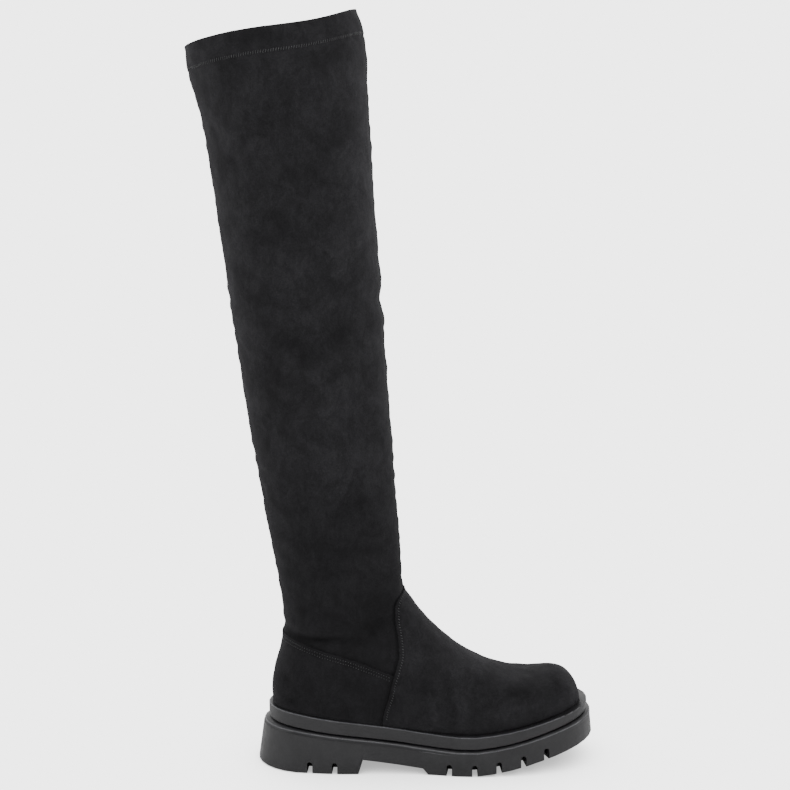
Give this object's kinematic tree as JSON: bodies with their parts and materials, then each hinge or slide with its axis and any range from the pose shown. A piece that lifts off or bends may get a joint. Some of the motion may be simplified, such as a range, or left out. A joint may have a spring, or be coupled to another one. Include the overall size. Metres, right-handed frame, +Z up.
{
  "type": "thigh high boot",
  "caption": "Thigh high pull-on boot with a wide leaning shaft, folded hem, soft round toe, vamp and heel panels, and a lugged platform sole with a low block heel.",
  "frame": {"origin": "on the floor, at the middle of the heel's flat tread", "axes": "+X from heel to toe, -Y the outer side of the foot, +Z up the leg"},
  "size_m": [0.3262, 0.115, 0.6077],
  "materials": {
    "outsole_rubber": "matte moulded rubber",
    "midsole_rubber": "matte moulded rubber",
    "insole_cloth": "plain dark cloth",
    "upper_suede": "black brushed faux suede",
    "panel_suede": "black brushed faux suede"
  },
  "bodies": {
    "root": {"outsole": "outsole_rubber", "midsole": "midsole_rubber", "insole": "insole_cloth", "upper": "upper_suede", "vamp": "panel_suede", "counter": "panel_suede"}
  },
  "joints": []
}
